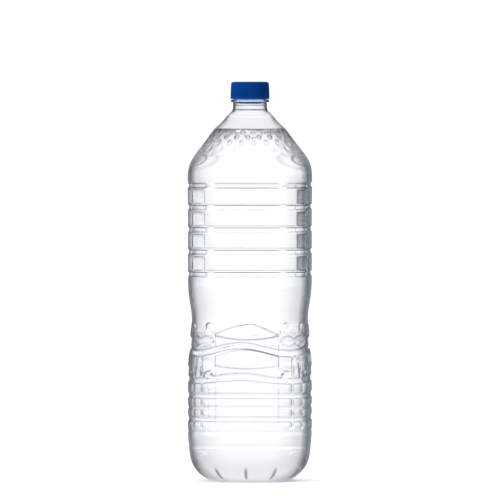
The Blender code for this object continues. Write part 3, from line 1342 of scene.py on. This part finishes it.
@dataclass
class WaterFill:
    """The water, which reaches just into the wall and climbs it a little at the level."""

    form: BottleForm
    finish: StillWater
    level: float = 270.2 * MM
    climb: float = 0.8 * MM
    into_wall: float = 0.2 * MM
    closest: float = 0.3 * MM
    meniscus: Profile = (
        (0.55, 0.5 * MM),
        (0.25, 1.2 * MM),
        (0.08, 2.2 * MM),
        (0.0, 3.6 * MM),
    )

    def build(self) -> bpy.types.Object:
        """Make the water and let it stand for the plain one.

        Returns:
            The water.
        """
        top = self.level + self.climb
        above = self.form.inside(-self.into_wall, 1.0)
        wet = [ring for ring in above if ring[0, 2] < top - self.closest]
        dry = above[len(wet)]
        share = (top - wet[-1][0, 2]) / (dry[0, 2] - wet[-1][0, 2])
        rim = wet[-1] + (dry - wet[-1]) * share
        rings = [*wet, rim]
        reach = np.linalg.norm(rim[:, :2], axis=1, keepdims=True)
        for rise, inward in self.meniscus:
            ring = rim.copy()
            ring[:, :2] *= 1.0 - inward / reach
            ring[:, 2] = self.level + rise * self.climb
            rings.append(ring)
        base = self.form.push_up_rise + self.form.wall_body - self.into_wall
        water = skin("water_fill", rings, (base, self.level), self.finish.material())
        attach(water, Body.WHOLE.value)
        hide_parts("water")
        log.info("water: %d faces", len(water.data.polygons))
        return water


@dataclass
class ScrewCap:
    """The blue screw cap: a cup with fine grip ribs round its side."""

    finish: MouldedPolyethylene
    foot: float = 293.8 * MM
    top: float = 307.0 * MM
    radius: float = 15.0 * MM
    bore: float = 13.2 * MM
    ceiling: float = 304.4 * MM
    edge: float = 1.7 * MM
    taper: float = 0.45 * MM
    ribs: int = 120
    rib_depth: float = 0.22 * MM
    columns_per_rib: int = 4
    ribs_from: float = 295.0 * MM
    ribs_to: float = 305.2 * MM
    rib_ramps: tuple[float, float] = (0.8 * MM, 1.2 * MM)
    side_depth: float = 1.5 * MM
    chamfer: float = 0.3 * MM
    lip: float = 0.2 * MM
    foot_edge: Profile = in_metres((0.25, 0.0), (0.05, 0.1))
    crown_dip: float = 0.2 * MM
    crown_steps: Profile = in_metres((2.4, 0.02), (2.9, 0.18))
    side_rings: int = 18
    edge_rings: int = 6

    def outline(self) -> list[tuple[float, float]]:
        """Radius and height along the outside and inside, from the middle of the ceiling out.

        Returns:
            The points, from the ceiling down the bore, up the side and over the top.
        """
        points = [(self.bore * 0.5, self.ceiling), (self.bore - self.chamfer, self.ceiling)]
        points += [(self.bore, self.ceiling - self.chamfer), (self.bore, self.foot + self.lip)]
        points += [(self.bore + self.lip, self.foot)]
        points += [(self.radius - inward, self.foot + rise) for inward, rise in self.foot_edge]
        low, high = self.foot + self.chamfer, self.top - self.edge
        for i in range(self.side_rings + 1):
            share = i / self.side_rings
            points.append((self.radius - self.taper * share**2, low + (high - low) * share))
        crown = self.radius - self.taper
        for i in range(1, self.edge_rings + 1):
            angle = QUARTER * i / self.edge_rings
            inward, fall = 1.0 - math.cos(angle), 1.0 - math.sin(angle)
            points.append((crown - self.edge * inward, self.top - self.edge * fall))
        points += [(crown - inward, self.top - fall) for inward, fall in self.crown_steps]
        points += [(self.radius * 0.5, self.top - self.crown_dip)]
        return points

    def build(self) -> bpy.types.Object:
        """Make the cap and let it stand for the plain one.

        Returns:
            The cap.
        """
        columns = self.ribs * self.columns_per_rib
        angles = even_angles(columns)
        wave = 0.5 * (1.0 - np.cos(angles * self.ribs))
        rings = []
        for radius, height in self.outline():
            depth = 0.0
            if radius > self.radius - self.side_depth:
                rise = smoothstep(0.0, self.rib_ramps[0], height - self.ribs_from)
                fall = smoothstep(0.0, self.rib_ramps[1], self.ribs_to - height)
                depth = self.rib_depth * float(rise * fall)
            rings.append(turned(radius - depth * wave, height, angles))
        poles = (self.ceiling, self.top - self.crown_dip)
        cap = skin("screw_cap", rings, poles, self.finish.material())
        cap.data.set_sharp_from_angle(angle=math.radians(50.0))
        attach(cap, Body.WHOLE.value)
        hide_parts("cap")
        log.info("screw cap: %d faces", len(cap.data.polygons))
        return cap


@dataclass
class Studio:
    """Pale floor, soft white surroundings and the long lens of the picture."""

    distance: float = 10.0
    azimuth: float = math.radians(3.0)
    elevation: float = math.radians(1.4)
    aim_height: float = 177.6 * MM
    picture_width: float = 384.7 * MM
    sensor: float = 36.0
    floor_reach: float = 80.0
    sky_light: float = 1.04
    daylight: float = 0.5
    daylight_angle: float = math.radians(120.0)
    key_place: Row = (-2.0, -1.95, 1.0)
    key_size: float = 1.2
    key_watts: float = 114.0

    def build_floor(self) -> bpy.types.Object:
        """Lay a wide pale floor under the bottle.

        Returns:
            The floor.
        """
        reach = self.floor_reach
        data = bpy.data.meshes.new("floor")
        corners = [(-reach, -reach, 0.0), (reach, -reach, 0.0), (reach, reach, 0.0), (-reach, reach, 0.0)]
        data.from_pydata(corners, [], [(0, 1, 2, 3)])
        material = bpy.data.materials.new("matt_white_paper")
        add = cleared(material)
        paper = {"Base Color": linear("#FAFAFA"), "Roughness": 0.9, "Specular IOR Level": 0.1}
        add("OutputMaterial", add("BsdfPrincipled", at=paper))
        data.materials.append(material)
        floor = add_object("floor", data)
        return floor

    def build_world(self) -> None:
        """Surround the bottle with white that falls off towards the zenith."""
        world = bpy.data.worlds.new("studio")
        add = cleared(world)
        rise = add("SeparateXYZ", add("TexCoord").outputs["Generated"]).outputs["Z"]
        sky = add("ValToRGB", rise, stops=((0.0, "#FFFFFF"), (0.5, "#FFFFFF"), (0.9, "#F4F5F8")))
        add("OutputWorld", add("Background", sky, self.sky_light))
        bpy.context.scene.world = world

    def build_key_lamp(self) -> bpy.types.Object:
        """Hang one soft square lamp that looks at the bottle.

        Returns:
            The lamp.
        """
        light = bpy.data.lights.new("key_lamp", "AREA")
        light.size = self.key_size
        light.energy = self.key_watts
        lamp = add_object("key_lamp", light)
        lamp.location = self.key_place
        aim = Vector((0.0, 0.0, self.aim_height)) - Vector(self.key_place)
        lamp.rotation_euler = aim.to_track_quat("-Z", "Y").to_euler()
        lamp.visible_camera = False
        lamp.visible_glossy = False
        lamp.visible_transmission = False
        return lamp

    def build_daylight(self) -> bpy.types.Object:
        """Add wide, even light from above, which keeps the whole floor white.

        Returns:
            The lamp.
        """
        light = bpy.data.lights.new("daylight", "SUN")
        light.energy = self.daylight
        light.angle = self.daylight_angle
        lamp = add_object("daylight", light)
        lamp.visible_glossy = False
        lamp.visible_transmission = False
        return lamp

    def build_camera(self) -> bpy.types.Object:
        """Set up the long lens at the picture's angle and scale.

        Returns:
            The camera.
        """
        data = bpy.data.cameras.new("camera")
        data.sensor_width = self.sensor
        data.lens = self.sensor * self.distance / self.picture_width
        data.clip_end = 4.0 * self.floor_reach
        camera = add_object("camera", data)
        level, rise = math.cos(self.elevation), math.sin(self.elevation)
        back = Vector((math.sin(self.azimuth) * level, -math.cos(self.azimuth) * level, rise))
        camera.location = Vector((0.0, 0.0, self.aim_height)) + back * self.distance
        camera.rotation_euler = back.to_track_quat("Z", "Y").to_euler()
        bpy.context.scene.camera = camera
        return camera

    def build(self) -> None:
        """Build floor, light and camera, and let light bend through every clear wall."""
        self.build_camera()
        self.build_floor()
        self.build_world()
        self.build_key_lamp()
        self.build_daylight()
        scene = bpy.context.scene
        scene.view_settings.view_transform = "Standard"
        scene.cycles.max_bounces = 32
        scene.cycles.transmission_bounces = 28
        scene.cycles.transparent_max_bounces = 16
        scene.cycles.use_denoising = True


def main() -> None:
    """Build the pieces in order and report each."""
    logging.basicConfig(level=logging.INFO, format="%(message)s")
    Studio().build()
    form = BottleForm()
    builders: list[Callable[[], bpy.types.Object]] = [
        BottleShell(form, BlowMouldedPet()).build,
        WaterFill(form, StillWater()).build,
        ScrewCap(MouldedPolyethylene()).build,
    ]
    for build in builders:
        piece = build()
        log.info("built %s", piece.name)


if __name__ == "__main__":
    main()
